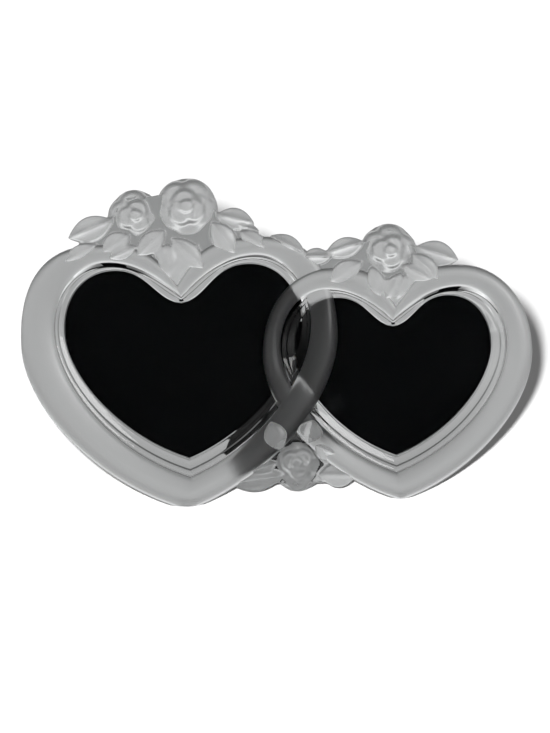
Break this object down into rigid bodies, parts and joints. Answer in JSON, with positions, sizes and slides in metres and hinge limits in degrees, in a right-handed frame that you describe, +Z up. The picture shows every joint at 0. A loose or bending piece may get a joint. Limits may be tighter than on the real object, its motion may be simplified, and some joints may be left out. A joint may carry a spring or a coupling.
{
  "type": "double heart photo frame",
  "caption": "Free-standing pressed-glass photo frame of two interlocked hearts with roses and leaves in relief, a velvet back in a recess and a fold-out leg.",
  "frame": {"origin": "on the table, under the middle of the part's bounding box", "axes": "+X to the right as seen from the front, +Y away from the viewer towards the leg, +Z up"},
  "size_m": [0.2304, 0.0551, 0.1433],
  "materials": {
    "frosted_glass": "satin",
    "clear_glass": "polished",
    "black_card": "matte",
    "foam": "matte",
    "board": "matte",
    "velvet": "matte",
    "brass": "satin",
    "ribbon": "satin"
  },
  "bodies": {
    "glass": {"glass_body": "frosted_glass"},
    "back": {"black_card": "black_card", "foam_pad": "foam", "backing_board": "board", "velvet_back": "velvet", "spring_clip_1": "brass", "spring_clip_2": "brass", "spring_clip_3": "brass", "spring_clip_4": "brass", "spring_clip_5": "brass", "spring_clip_6": "brass", "clip_rivets": "brass", "hinge_fixed_leaf": "brass", "fixed_leaf_rivets": "brass", "hinge_pin": "brass", "board_eyelet": "brass", "stay_ribbon": "ribbon"},
    "leg": {"hinge_moving_leaf": "brass", "moving_leaf_rivets": "brass", "leg_board": "board", "leg_velvet": "velvet", "leg_eyelet": "brass"}
  },
  "joints": [
    {"name": "back_pull", "type": "slide", "parent": "glass", "child": "back", "axis": [0, 0.9659, -0.2588], "range_m": [0, 0.008]},
    {"name": "leg_fold", "type": "hinge", "parent": "back", "child": "leg", "pos_m": [-0.00129, 0.00566, 0.07185], "axis": [1, 0, 0], "range_deg": [-29, 0], "deforming": ["stay_ribbon"]}
  ]
}
